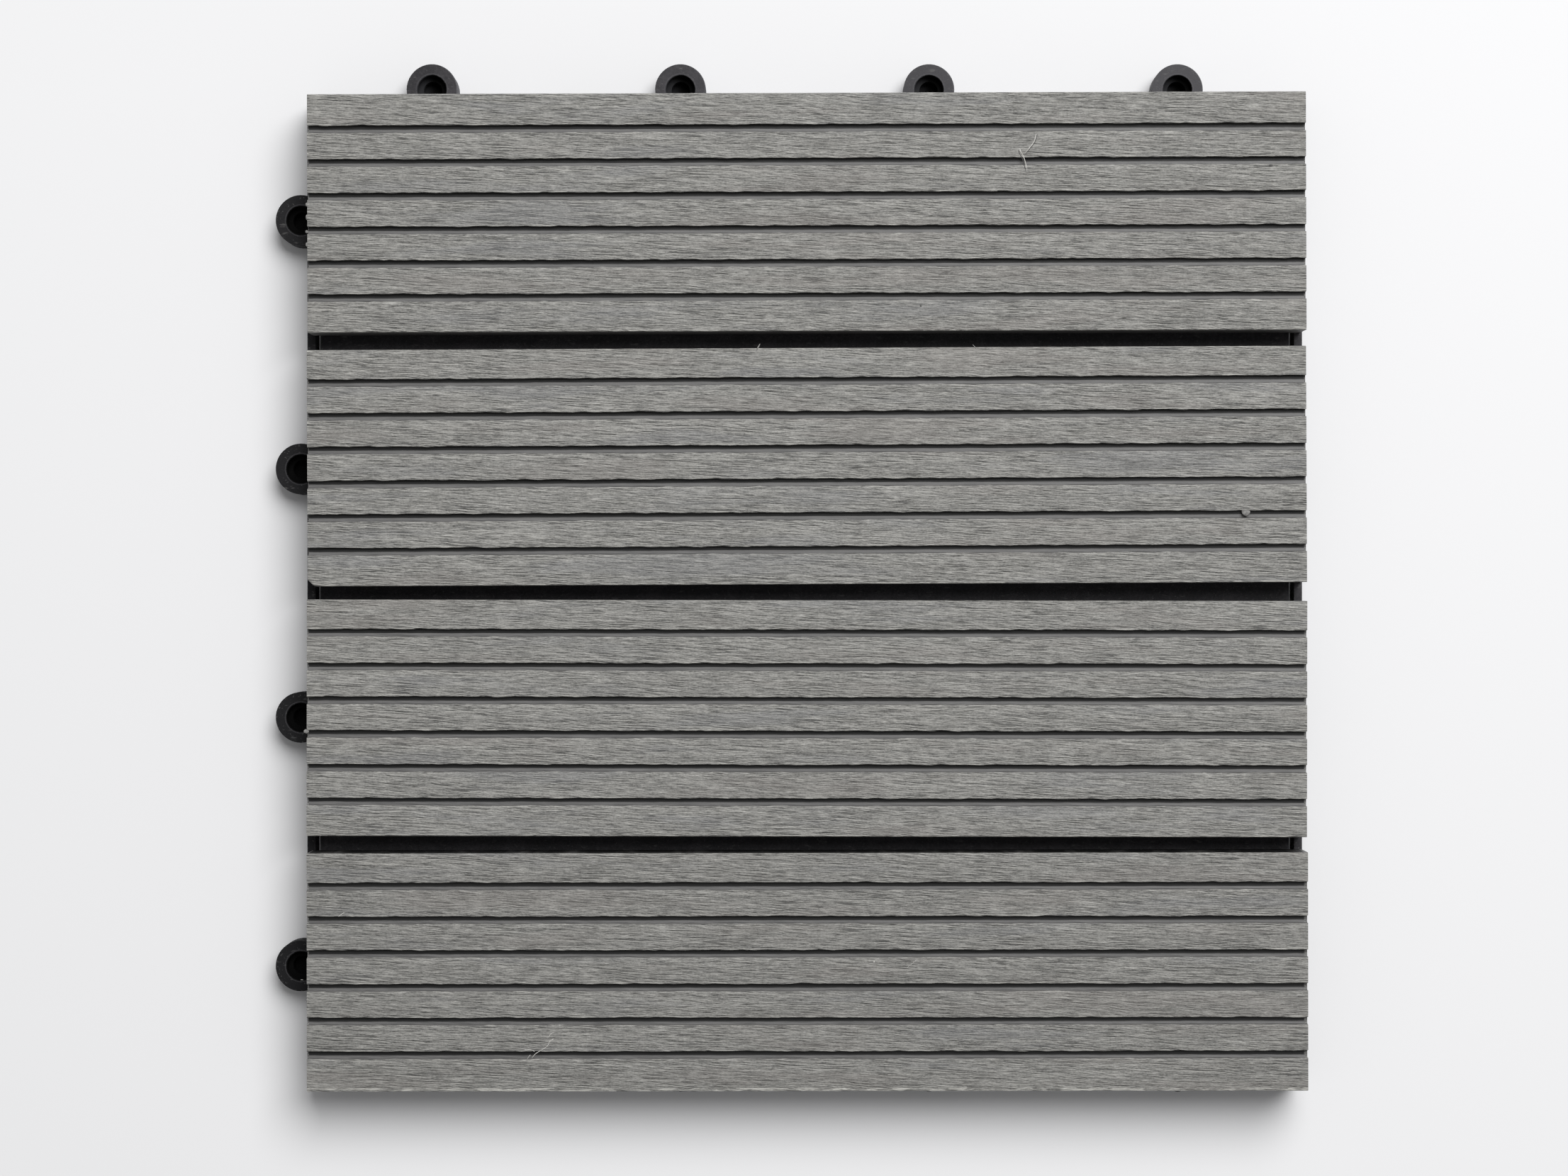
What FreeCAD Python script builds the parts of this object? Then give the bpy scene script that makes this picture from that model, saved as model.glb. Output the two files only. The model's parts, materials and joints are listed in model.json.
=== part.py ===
import FreeCAD, Part
import os

import Sketcher
from FreeCAD import Vector

# Interlocking deck tile: grooved slats of wood-plastic composite, screwed from
# below to one moulded base. The base carries a row of ring sockets along two
# sides and a row of pegs along the other two, so that a tile drops onto its
# neighbours. Millimetres, +Z up, origin on the ground under the tile's centre.
# The rings are on the +Y and -X sides, the pegs on the -Y and +X sides.

DIMENSIONS = [
    ("module_pitch", 75.0, "spacing of the rings and pegs along a side"),
    ("module_count", 4, "rings along a side, and slats"),
    ("cells_per_module", 3, "rib cells in one module"),
    ("joint_gap", 0.4, "between the rims of two joined tiles"),
    ("base_height", 10.0, "ground to the slats' underside"),
    ("foot_height", 2.0, "feet, ground to the ribs' underside"),
    ("rim_wall", 2.4, "wall around the base"),
    ("rim_corner_radius", 3.0, "upright corners of the rim"),
    ("rib_wall", 1.6, "lattice ribs"),
    ("gutter_depth", 2.0, "gutter floor below the slats' underside"),
    ("gutter_floor", 1.5, "thickness of the gutter floor"),
    ("gutter_wall", 1.6, "walls that carry the slats' long edges"),
    ("gutter_setback", 0.8, "slat edge to the gutter wall behind it"),
    ("drain_slot", 1.3, "slot at each end of a gutter floor"),
    ("foot_size", 9.0, "square feet under the rib crossings"),
    ("screw_plate", 3.0, "plate that closes the cell above a screw head"),
    ("shank_clearance", 0.3, "around the screw's shank in its plate"),
    ("ring_radius", 7.65, "outside of a ring"),
    ("ring_offset", 2.0, "ring centre outside the pitch line"),
    ("entry_radius", 4.3, "wide mouth of a ring"),
    ("entry_depth", 3.0, "depth of the mouth"),
    ("socket_radius", 2.8, "narrow part that guides the peg"),
    ("socket_floor", 1.4, "closed bottom of a ring"),
    ("stack_clearance", 0.3, "ring top below the neighbour's shelf"),
    ("ring_clearance", 1.2, "beside the neighbour's ring in the rim's notch"),
    ("shelf_wall", 1.5, "shelf that carries a peg"),
    ("peg_clearance", 0.4, "peg in the socket, on the radius"),
    ("peg_tip_gap", 0.6, "peg tip above the socket's closed bottom"),
    ("peg_nose", 0.8, "chamfer of the peg's tip"),
    ("peg_slot", 1.0, "slot that splits the peg"),
    ("peg_slot_depth", 4.0, "slot, from the peg's tip up"),
    ("slat_inset", 1.3, "slat field inside the rim's outer face"),
    ("slat_gap", 5.2, "between two slats"),
    ("slat_thickness", 12.0, "slat"),
    ("slat_edge", 0.4, "chamfer of the ribs of a slat"),
    ("groove_count", 6, "grooves in a slat"),
    ("groove_pitch", 10.05, "spacing of the grooves"),
    ("groove_width", 2.6, "groove"),
    ("groove_depth", 1.8, "groove"),
    ("flute_width", 7.0, "relief channel in the slat's underside"),
    ("flute_depth", 1.0, "relief channel"),
    ("flute_pitch", 12.0, "spacing of the relief channels"),
    ("flute_offset", 13.5, "first relief channel from the slat's middle"),
    ("screw_radius", 2.0, "screw shank"),
    ("screw_length", 10.0, "screw, under the head"),
    ("head_flats", 7.0, "hexagon head, flat to flat"),
    ("head_height", 2.4, "hexagon head"),
    ("pilot_clearance", 0.05, "around the screw in its pilot hole"),
    ("pilot_end_gap", 0.4, "beyond the screw's end"),
]

doc = FreeCAD.newDocument("deck_tile")
sheet = doc.addObject("Spreadsheet::Sheet", "sizes")
for row, (alias, number, note) in enumerate(DIMENSIONS, start=1):
    sheet.set(f"A{row}", alias)
    sheet.set(f"B{row}", str(number))
    sheet.set(f"C{row}", note)
    sheet.setAlias(f"B{row}", alias)
doc.recompute()


def sized(text):
    """Put the sheet's name before each alias in an expression."""
    words = []
    for word in text.replace("(", " ( ").replace(")", " ) ").split():
        words.append(f"sizes.{word}" if word in ALIASES else word)
    return "(" + " ".join(words) + ")"


ALIASES = {alias for alias, number, note in DIMENSIONS}

# Sizes that follow from the sheet
HALF = sized("( module_pitch * module_count - joint_gap ) / 2")
INNER_HALF = sized(f"{HALF} - rim_wall")
CELL = sized("module_pitch / cells_per_module")
FIRST_RIB = sized(f"{CELL} - module_pitch * module_count / 2")
OUTER_FOOT = sized(f"-1 * {FIRST_RIB} - {CELL}")
RIB_COUNT = sized("module_count * cells_per_module - 1")
FIRST_MODULE = sized("module_pitch * ( 1 - module_count ) / 2")
SLAT_FIELD = sized(f"2 * {HALF} - 2 * slat_inset")
SLAT_PITCH = sized(f"( {SLAT_FIELD} + slat_gap ) / module_count")
SLAT_WIDTH = sized(f"{SLAT_PITCH} - slat_gap")
FIRST_GAP = sized(f"{SLAT_PITCH} * ( 2 - module_count ) / 2")
CHANNEL_WIDTH = sized("slat_gap + 2 * gutter_setback")
GUTTER_WIDTH = sized(f"{CHANNEL_WIDTH} + 2 * gutter_wall")
GUTTER_TOP = sized("base_height - gutter_depth")
RING_CENTRE = sized("module_pitch * module_count / 2 + ring_offset")
PEG_CENTRE = sized("module_pitch * module_count / 2 - ring_offset")
SHELF_UNDERSIDE = sized("base_height - shelf_wall")
RING_TOP = sized(f"{SHELF_UNDERSIDE} - stack_clearance")
ENTRY_FLOOR = sized(f"{RING_TOP} - entry_depth")
PEG_RADIUS = sized("socket_radius - peg_clearance")
PEG_TIP = sized("socket_floor + peg_tip_gap")
NOTCH_WIDTH = sized("2 * ring_radius + 2 * ring_clearance")
HEAD_SEAT = sized("base_height - screw_plate")
PILOT_DEPTH = sized("screw_length - screw_plate + pilot_end_gap")
CORNER_FOOT = sized(f"{HALF} - 0.5 * foot_size - 0.5 * rim_wall")
RIM_MIDDLE = sized(f"{HALF} - 0.5 * rim_wall")
RIM_CELL_DEPTH = sized(f"{RIM_MIDDLE} + {FIRST_RIB}")
RIM_CELL_CENTRE = sized(f"{RIM_MIDDLE} - 0.5 * {RIM_CELL_DEPTH}")


def value(expression):
    """The number that an expression stands for."""
    result = sheet.evalExpression(str(expression))
    return float(getattr(result, "Value", result))


def origin_plane(body, role):
    return next(item for item in body.Origin.OriginFeatures if item.Role == role)


def new_body(label):
    body = doc.addObject("PartDesign::Body", label)
    body.Label = label
    return body


def new_sketch(body, name, plane="XY_Plane", at=("0", "0", "0")):
    """A sketch on one of the body's own planes, moved by expressions along the plane's x, y and normal."""
    sketch = body.newObject("Sketcher::SketchObject", name)
    sketch.AttachmentSupport = [(origin_plane(body, plane), "")]
    sketch.MapMode = "FlatFace"
    for axis, expression in zip("xyz", at):
        if expression != "0":
            sketch.setExpression(f"AttachmentOffset.Base.{axis}", expression)
    return sketch


def bind(sketch, name, kind, references, expression):
    """Add one dimension to a sketch and bind it to an expression."""
    index = sketch.addConstraint(Sketcher.Constraint(kind, *references, value(expression)))
    sketch.renameConstraint(index, name)
    sketch.setExpression(f"Constraints.{name}", expression)


def draw_circle(sketch, radius):
    circle = sketch.addGeometry(Part.Circle(Vector(0, 0, 0), Vector(0, 0, 1), value(radius)))
    sketch.addConstraint(Sketcher.Constraint("Coincident", circle, 3, -1, 1))
    bind(sketch, f"radius{circle}", "Radius", (circle,), radius)


def draw_rectangle(sketch, width, height):
    """A rectangle centred on the sketch's origin."""
    x = value(width) / 2
    y = value(height) / 2
    corners = [Vector(-x, -y, 0), Vector(x, -y, 0), Vector(x, y, 0), Vector(-x, y, 0)]
    lines = [sketch.addGeometry(Part.LineSegment(corners[i], corners[(i + 1) % 4])) for i in range(4)]
    for i in range(4):
        sketch.addConstraint(Sketcher.Constraint("Coincident", lines[i], 2, lines[(i + 1) % 4], 1))
        sketch.addConstraint(Sketcher.Constraint("Horizontal" if i % 2 == 0 else "Vertical", lines[i]))
    sketch.addConstraint(Sketcher.Constraint("Symmetric", lines[0], 1, lines[1], 2, -1, 1))
    bind(sketch, f"width{lines[0]}", "DistanceX", (lines[0], 1, lines[0], 2), width)
    bind(sketch, f"height{lines[0]}", "DistanceY", (lines[1], 1, lines[1], 2), height)


def hold_point(sketch, name, geometry, end, x, y):
    """Fix one end of a piece of geometry at two expressions."""
    for axis, line, kind, expression in (("x", -2, "DistanceX", x), ("y", -1, "DistanceY", y)):
        if expression == "0":
            sketch.addConstraint(Sketcher.Constraint("PointOnObject", geometry, end, line))
        else:
            bind(sketch, f"{name}{axis}", kind, (-1, 1, geometry, end), expression)


def draw_outline(sketch, corners):
    """A closed outline of straight lines through corners (x, y), in expressions."""
    places = [Vector(value(x), value(y), 0) for x, y in corners]
    count = len(corners)
    lines = [sketch.addGeometry(Part.LineSegment(places[i], places[(i + 1) % count])) for i in range(count)]
    for i, (x, y) in enumerate(corners):
        sketch.addConstraint(Sketcher.Constraint("Coincident", lines[i - 1], 2, lines[i], 1))
        hold_point(sketch, f"corner{i}", lines[i], 1, x, y)


def pad(body, name, sketch, height):
    """Add material from the sketch along its normal."""
    feature = body.newObject("PartDesign::Pad", name)
    feature.Profile = (sketch, [""])
    feature.setExpression("Length", height)
    return feature


def pocket(body, name, sketch, depth):
    """Cut material from the sketch against its normal."""
    feature = body.newObject("PartDesign::Pocket", name)
    feature.Profile = (sketch, [""])
    feature.setExpression("Length", depth)
    return feature


def turn(body, name, sketch):
    """Revolve a sketch about its own upright axis."""
    feature = body.newObject("PartDesign::Revolution", name)
    feature.Profile = (sketch, [""])
    feature.ReferenceAxis = (sketch, ["V_Axis"])
    feature.Angle = 360.0
    return feature


def repeat(body, originals, along):
    """Repeat features in a row: along is (axis role, spacing, number)."""
    role, spacing, count = along
    pattern = body.newObject("PartDesign::LinearPattern", f"{originals[0].Name}_row")
    pattern.Originals = originals
    pattern.Direction = (origin_plane(body, role), [""])
    pattern.Mode = "Spacing"
    pattern.setExpression("Offset", spacing)
    pattern.setExpression("Occurrences", count)
    body.Tip = pattern


def rows(at, across):
    """The places of a grid's rows: the first one, moved along y in steps of (spacing, number)."""
    if not across:
        return [at]
    spacing, count = across
    return [(at[0], sized(f"{at[1]} + {row} * {spacing}"), at[2]) for row in range(int(value(count)))]


def long_edges(shape, height):
    """Names of the straight edges along X at a height."""
    names = []
    for number, edge in enumerate(shape.Edges, start=1):
        ends = [vertex.Point for vertex in edge.Vertexes]
        if len(ends) == 2 and isinstance(edge.Curve, Part.Line):
            level = all(abs(point.z - height) < 1e-6 for point in ends)
            if level and abs(ends[0].y - ends[1].y) < 1e-6:
                names.append(f"Edge{number}")
    return names


def upright_corner_edges(shape, x, y):
    """Names of the upright edges at the four corners of a block."""
    names = []
    for number, edge in enumerate(shape.Edges, start=1):
        ends = [vertex.Point for vertex in edge.Vertexes]
        if len(ends) == 2 and ends[0].distanceToPoint(Vector(ends[1].x, ends[1].y, ends[0].z)) < 1e-6:
            if abs(abs(ends[0].x) - x) < 1e-6 and abs(abs(ends[0].y) - y) < 1e-6:
                names.append(f"Edge{number}")
    return names


def round_edges(body, name, feature, edges, radius):
    fillet = body.newObject("PartDesign::Fillet", name)
    fillet.Base = (feature, edges)
    fillet.setExpression("Radius", radius)


def chamfer_edges(body, name, feature, edges, size):
    chamfer = body.newObject("PartDesign::Chamfer", name)
    chamfer.Base = (feature, edges)
    chamfer.setExpression("Size", size)


MODULES_X = ("X_Axis", sized("module_pitch"), sized("module_count"))
MODULES_Y = ("Y_Axis", sized("module_pitch"), sized("module_count"))
SCREWS_X = ("X_Axis", sized("module_pitch * ( module_count - 1 )"), "2")
MODULE_ROWS = (sized("module_pitch"), sized("module_count"))
GUTTER_ROWS = (SLAT_PITCH, sized("module_count - 1"))
GUTTERS = ("Y_Axis", *GUTTER_ROWS)


def discs(name, at, radius, height, along, across):
    """A grid of upright cylinders."""
    body = new_body(name)
    pads = []
    for row, place in enumerate(rows(at, across), start=1):
        sketch = new_sketch(body, f"{name}_outline_{row}", at=place)
        draw_circle(sketch, radius)
        pads.append(pad(body, f"{name}_{row}", sketch, height))
    repeat(body, pads, along)
    return body


def blocks(name, at, width, depth, height, along, across=None):
    """A row or grid of blocks."""
    body = new_body(name)
    pads = []
    for row, place in enumerate(rows(at, across), start=1):
        sketch = new_sketch(body, f"{name}_outline_{row}", at=place)
        draw_rectangle(sketch, width, depth)
        pads.append(pad(body, f"{name}_{row}", sketch, height))
    repeat(body, pads, along)
    return body


def turned_row(name, x, y, corners, along):
    """A row of round pieces, each a half profile revolved about its upright axis."""
    body = new_body(name)
    sketch = new_sketch(body, f"{name}_profile", "XZ_Plane", at=(x, "0", sized(f"-1 * {y}")))
    draw_outline(sketch, corners)
    repeat(body, [turn(body, f"{name}_turned", sketch)], along)
    return body


def fused(name, pieces):
    """All the pieces joined in one step."""
    result = doc.addObject("Part::MultiFuse", name)
    result.Label = name
    result.Shapes = pieces
    result.Refine = True
    return result


def make_rim():
    """Upright wall around the base."""
    body = new_body("rim")
    sketch = new_sketch(body, "rim_outline", at=("0", "0", sized("foot_height")))
    draw_rectangle(sketch, sized(f"2 * {HALF}"), sized(f"2 * {HALF}"))
    wall = pad(body, "rim_block", sketch, sized("base_height - foot_height"))
    doc.recompute()
    corners = upright_corner_edges(wall.Shape, value(HALF), value(HALF))
    round_edges(body, "rim_corners", wall, corners, sized("rim_corner_radius"))
    sketch = new_sketch(body, "rim_inside", at=("0", "0", sized("base_height")))
    draw_rectangle(sketch, sized(f"2 * {INNER_HALF}"), sized(f"2 * {INNER_HALF}"))
    pocket(body, "rim_opening", sketch, sized("base_height"))
    return body


def make_lattice():
    """Ribs across the slats at every cell, and along them in pairs that flank each row of screws."""
    reach = sized(f"2 * {INNER_HALF} + rim_wall")
    height = sized("base_height - foot_height")
    first = sized(f"{FIRST_MODULE} - 0.5 * {CELL}")
    return [
        blocks("ribs_across", (FIRST_RIB, "0", sized("foot_height")), sized("rib_wall"), reach, height,
               ("X_Axis", CELL, RIB_COUNT)),
        blocks("ribs_along", ("0", first, sized("foot_height")), reach, sized("rib_wall"), height,
               MODULES_Y, (CELL, "2")),
    ]


def make_gutters():
    """A channel with a closed floor under each gap between slats; its walls carry the slats' edges."""
    bottom = sized(f"{GUTTER_TOP} - gutter_floor")
    return blocks("gutters", ("0", FIRST_GAP, bottom), sized(f"2 * {INNER_HALF} + rim_wall"), GUTTER_WIDTH,
                  sized("gutter_depth + gutter_floor"), GUTTERS)


def make_gutter_openings():
    """The channels, and a drain slot through the floor at both ends of each."""
    end = sized(f"0.5 * drain_slot - {INNER_HALF}")
    far_end = ("X_Axis", sized(f"2 * {INNER_HALF} - drain_slot"), "2")
    return [
        blocks("channels", ("0", FIRST_GAP, GUTTER_TOP), sized(f"2 * {INNER_HALF}"), CHANNEL_WIDTH,
               sized("2 * gutter_depth"), GUTTERS),
        blocks("drains", (end, FIRST_GAP, "0"), sized("drain_slot"), CHANNEL_WIDTH,
               sized("base_height"), far_end, GUTTER_ROWS),
    ]


def make_feet():
    """Square feet under rib crossings and the corners of the rim, and a row across the middle."""
    size = sized("foot_size")
    grids = [blocks("middle_feet", (sized("-1 * module_pitch"), "0", "0"), size, size, sized("foot_height"),
                    ("X_Axis", sized("module_pitch"), "3"))]
    for name, x, y in (
        ("outer_feet", OUTER_FOOT, OUTER_FOOT),
        ("side_feet", OUTER_FOOT, CELL),
        ("end_feet", CELL, OUTER_FOOT),
        ("corner_feet", CORNER_FOOT, CORNER_FOOT),
    ):
        first = (sized(f"-1 * {x}"), sized(f"-1 * {y}"), "0")
        grids.append(blocks(name, first, size, size, sized("foot_height"),
                            ("X_Axis", sized(f"2 * {x}"), "2"), (sized(f"2 * {y}"), "2")))
    return grids


def make_screw_plates():
    """Each screw passes through a plate that closes its cell."""
    return blocks("screw_plates", (FIRST_MODULE, FIRST_MODULE, HEAD_SEAT), CELL, CELL,
                  sized("screw_plate"), SCREWS_X, MODULE_ROWS)


def make_shank_holes():
    return discs("shank_holes", (FIRST_MODULE, FIRST_MODULE, "0"), sized("screw_radius + shank_clearance"),
                 sized("2 * base_height"), SCREWS_X, MODULE_ROWS)


def make_rings(side, x, y, along):
    """Round cups outside the rim."""
    return turned_row(f"rings_{side}", x, y, [
        ("0", "0"),
        (sized("ring_radius"), "0"),
        (sized("ring_radius"), RING_TOP),
        ("0", RING_TOP),
    ], along)


def make_ring_openings(side, x, y, along):
    """The narrow socket of each cup and its wide mouth, which also notches the rim."""
    return turned_row(f"ring_holes_{side}", x, y, [
        ("0", sized("socket_floor")),
        (sized("socket_radius"), sized("socket_floor")),
        (sized("socket_radius"), ENTRY_FLOOR),
        (sized("entry_radius"), ENTRY_FLOOR),
        (sized("entry_radius"), sized("2 * base_height")),
        ("0", sized("2 * base_height")),
    ], along)


def make_pegs(side, x, y, along):
    """Split pegs that hang from the shelves."""
    body = turned_row(f"pegs_{side}", x, y, [
        ("0", PEG_TIP),
        (sized(f"{PEG_RADIUS} - peg_nose"), PEG_TIP),
        (PEG_RADIUS, sized(f"{PEG_TIP} + peg_nose")),
        (PEG_RADIUS, SHELF_UNDERSIDE),
        ("0", SHELF_UNDERSIDE),
    ], along)
    slot_top = sized(f"{PEG_TIP} + peg_slot_depth")
    sketch = new_sketch(body, f"peg_slot_outline_{side}", at=(x, y, slot_top))
    draw_rectangle(sketch, sized("peg_slot"), sized(f"2 * {PEG_RADIUS} + peg_slot"))
    repeat(body, [pocket(body, f"peg_slot_{side}", sketch, slot_top)], along)
    return body


def make_peg_sides():
    """Shelves over the cells that the pegs hang in, and the notches that let the neighbour's rings in."""
    middle = sized(f"{HALF} + 0.5 * rim_wall")
    depth = sized("2 * rim_wall")
    front = sized(f"-1 * {RIM_CELL_CENTRE}")
    shelves = [
        blocks("shelves_front", (FIRST_MODULE, front, SHELF_UNDERSIDE), CELL, RIM_CELL_DEPTH,
               sized("shelf_wall"), MODULES_X),
        blocks("shelves_right", (RIM_CELL_CENTRE, FIRST_MODULE, SHELF_UNDERSIDE), RIM_CELL_DEPTH, CELL,
               sized("shelf_wall"), MODULES_Y),
    ]
    notches = [
        blocks("notches_front", (FIRST_MODULE, sized(f"rim_wall - {middle}"), "0"), NOTCH_WIDTH, depth,
               SHELF_UNDERSIDE, MODULES_X),
        blocks("notches_right", (sized(f"{middle} - rim_wall"), FIRST_MODULE, "0"), depth, NOTCH_WIDTH,
               SHELF_UNDERSIDE, MODULES_Y),
    ]
    return shelves, notches


def make_base():
    front = ("front", FIRST_MODULE, sized(f"-1 * {PEG_CENTRE}"))
    right = ("right", PEG_CENTRE, FIRST_MODULE)
    back = ("back", FIRST_MODULE, RING_CENTRE)
    left = ("left", sized(f"-1 * {RING_CENTRE}"), FIRST_MODULE)
    shelves, notches = make_peg_sides()
    solids = [make_rim(), make_gutters(), make_screw_plates()] + make_lattice() + make_feet() + shelves
    solids += [make_rings(*back, MODULES_X), make_rings(*left, MODULES_Y)]
    openings = make_gutter_openings() + notches + [make_shank_holes()]
    openings += [make_ring_openings(*back, MODULES_X), make_ring_openings(*left, MODULES_Y)]
    moulding = doc.addObject("Part::Cut", "moulding")
    moulding.Base = fused("walls", solids)
    moulding.Tool = fused("openings", openings)
    moulding.Refine = True
    pegs = [make_pegs(*front, MODULES_X), make_pegs(*right, MODULES_Y)]
    return fused("base_grid", [moulding] + pegs)


def make_slat(number):
    """One slat, in its own frame with its underside at z = 0, then set down on the base."""
    body = new_body(f"slat_{number}")
    middle = sized(f"{SLAT_PITCH} * ( {number} - ( module_count + 1 ) / 2 )")
    sketch = new_sketch(body, "slat_outline")
    draw_rectangle(sketch, SLAT_FIELD, SLAT_WIDTH)
    pad(body, "board", sketch, sized("slat_thickness"))
    first = sized("groove_pitch * ( 1 - groove_count ) / 2")
    sketch = new_sketch(body, "groove_outline", at=("0", first, sized("slat_thickness")))
    draw_rectangle(sketch, sized(f"{SLAT_FIELD} + groove_width"), sized("groove_width"))
    groove = pocket(body, "groove", sketch, sized("groove_depth"))
    repeat(body, [groove], ("Y_Axis", sized("groove_pitch"), sized("groove_count")))
    doc.recompute()
    ribs = long_edges(body.Tip.Shape, value(sized("slat_thickness")))
    chamfer_edges(body, "rib_edges", body.Tip, ribs, sized("slat_edge"))
    for name, offset in (("flute", "flute_offset"), ("far_flute", "-1 * flute_offset - flute_pitch")):
        sketch = new_sketch(body, f"{name}_outline", at=("0", sized(offset), sized("flute_depth")))
        draw_rectangle(sketch, sized(f"{SLAT_FIELD} + flute_width"), sized("flute_width"))
        flute = pocket(body, name, sketch, sized("flute_depth"))
        repeat(body, [flute], ("Y_Axis", sized("flute_pitch"), "2"))
    module = sized(f"module_pitch * ( {number} - ( module_count + 1 ) / 2 )")
    sketch = new_sketch(body, "pilot_outline", at=(FIRST_MODULE, sized(f"{module} - {middle}"), PILOT_DEPTH))
    draw_circle(sketch, sized("screw_radius + pilot_clearance"))
    repeat(body, [pocket(body, "pilot", sketch, PILOT_DEPTH)], SCREWS_X)
    body.setExpression("Placement.Base.y", middle)
    body.setExpression("Placement.Base.z", sized("base_height"))
    return body


def make_screws():
    """Self-tapping screws, head down, one through each screw plate."""
    body = new_body("screws")
    seat = (FIRST_MODULE, FIRST_MODULE, HEAD_SEAT)
    corner = sized("head_flats / 3 ^ 0.5")
    side = sized("0.5 * head_flats")
    hexagon = [(corner, "0")]
    for x, y in ((0.5, 1), (-0.5, 1), (-1, 0), (-0.5, -1), (0.5, -1)):
        hexagon.append((sized(f"{x} * {corner}"), sized(f"{y} * {side}") if y else "0"))
    solids = []
    for row, place in enumerate(rows(seat, MODULE_ROWS), start=1):
        sketch = new_sketch(body, f"head_outline_{row}", at=place)
        draw_outline(sketch, hexagon)
        head = pad(body, f"head_{row}", sketch, sized("head_height"))
        head.Reversed = True
        sketch = new_sketch(body, f"shank_outline_{row}", at=place)
        draw_circle(sketch, sized("screw_radius"))
        solids += [head, pad(body, f"shank_{row}", sketch, sized("screw_length"))]
    repeat(body, solids, SCREWS_X)
    return body


def check(parts):
    """Stop if a feature failed, a cut missed its body or a finished shape isn't sound."""
    for item in doc.Objects:
        if "Invalid" in item.State or "Error" in item.State:
            raise RuntimeError(f"{item.Name} failed: {item.State}")
        if item.TypeId == "PartDesign::Pocket" and item.Shape.Volume >= item.BaseFeature.Shape.Volume:
            raise RuntimeError(f"{item.Name} cuts nothing")
    for part in parts:
        if part.Shape.isNull() or not part.Shape.isValid():
            raise RuntimeError(f"{part.Label} is not a sound solid")
        print(part.Label, len(part.Shape.Solids), "solid", round(part.Shape.Volume / 1000, 2), "cm3")


parts = []
for slat_number in range(1, int(value(sized("module_count"))) + 1):
    parts.append(make_slat(slat_number))
parts.append(make_screws())
parts.append(make_base())
doc.recompute()
check(parts)
os.makedirs("parts", exist_ok=True)
for part in parts:
    part.Shape.exportStep(f"parts/{part.Label}.step")
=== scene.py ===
import json
import math

import bmesh
import bpy
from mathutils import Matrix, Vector

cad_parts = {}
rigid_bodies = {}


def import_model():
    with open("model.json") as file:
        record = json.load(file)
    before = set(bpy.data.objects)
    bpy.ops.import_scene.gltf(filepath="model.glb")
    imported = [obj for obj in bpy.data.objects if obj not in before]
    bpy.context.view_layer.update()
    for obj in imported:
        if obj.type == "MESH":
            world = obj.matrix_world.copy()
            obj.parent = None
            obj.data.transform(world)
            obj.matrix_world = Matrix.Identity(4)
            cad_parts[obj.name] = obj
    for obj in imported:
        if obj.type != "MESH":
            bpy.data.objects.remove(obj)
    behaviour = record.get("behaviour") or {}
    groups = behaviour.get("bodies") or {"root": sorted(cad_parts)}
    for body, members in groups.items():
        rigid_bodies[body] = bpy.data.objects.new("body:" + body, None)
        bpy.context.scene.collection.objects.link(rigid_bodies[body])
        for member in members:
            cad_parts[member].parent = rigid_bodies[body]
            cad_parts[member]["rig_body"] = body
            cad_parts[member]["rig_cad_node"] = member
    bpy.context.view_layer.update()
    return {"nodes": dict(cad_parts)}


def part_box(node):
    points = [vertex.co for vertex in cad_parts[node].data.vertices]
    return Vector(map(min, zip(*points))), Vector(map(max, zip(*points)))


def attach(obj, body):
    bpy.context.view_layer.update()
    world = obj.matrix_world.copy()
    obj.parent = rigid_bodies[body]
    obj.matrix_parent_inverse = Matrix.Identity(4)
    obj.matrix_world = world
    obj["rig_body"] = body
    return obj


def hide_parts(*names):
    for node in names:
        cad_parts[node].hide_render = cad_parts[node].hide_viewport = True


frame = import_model()
mm = 0.001


# small helpers for modelling as by hand

def clearSelection():
    if bpy.context.mode != "OBJECT":
        bpy.ops.object.mode_set(mode="OBJECT")
    bpy.ops.object.select_all(action="DESELECT")


def selectOnly(piece):
    clearSelection()
    piece.select_set(True)
    bpy.context.view_layer.objects.active = piece


def named(name):
    piece = bpy.context.object
    piece.name = name
    piece.data.name = name
    return piece


def editing(piece):
    selectOnly(piece)
    bpy.ops.object.mode_set(mode="EDIT")


def modelled():
    bpy.ops.object.mode_set(mode="OBJECT")


def pick(piece, kind, test):
    # select only the vertices, edges or faces that pass the test
    bpy.ops.mesh.select_mode(type=kind)
    bpy.ops.mesh.select_all(action="DESELECT")
    shape = bmesh.from_edit_mesh(piece.data)
    if kind == "VERT":
        for v in shape.verts:
            v.select = test(v.co)
    elif kind == "EDGE":
        for e in shape.edges:
            e.select = test(e.verts[0].co, e.verts[1].co)
    else:
        for f in shape.faces:
            f.select = test(f.calc_center_median(), f.normal)
    shape.select_flush_mode()
    bmesh.update_edit_mesh(piece.data)


def cut(where, axis):
    # a straight cut through all of the mesh, across an axis
    bpy.ops.mesh.select_all(action="SELECT")
    normal = [0, 0, 0]
    normal["xyz".index(axis)] = 1
    place = [where * n for n in normal]
    bpy.ops.mesh.bisect(plane_co=place, plane_no=normal, use_fill=False)


def near(a, b, tolerance=0.02 * mm):
    return abs(a - b) < tolerance


def turnOutwards():
    bpy.ops.mesh.select_all(action="SELECT")
    bpy.ops.mesh.normals_make_consistent(inside=False)


def applyModifiers(piece):
    for modifier in list(piece.modifiers):
        bpy.ops.object.modifier_apply(modifier=modifier.name)


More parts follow.
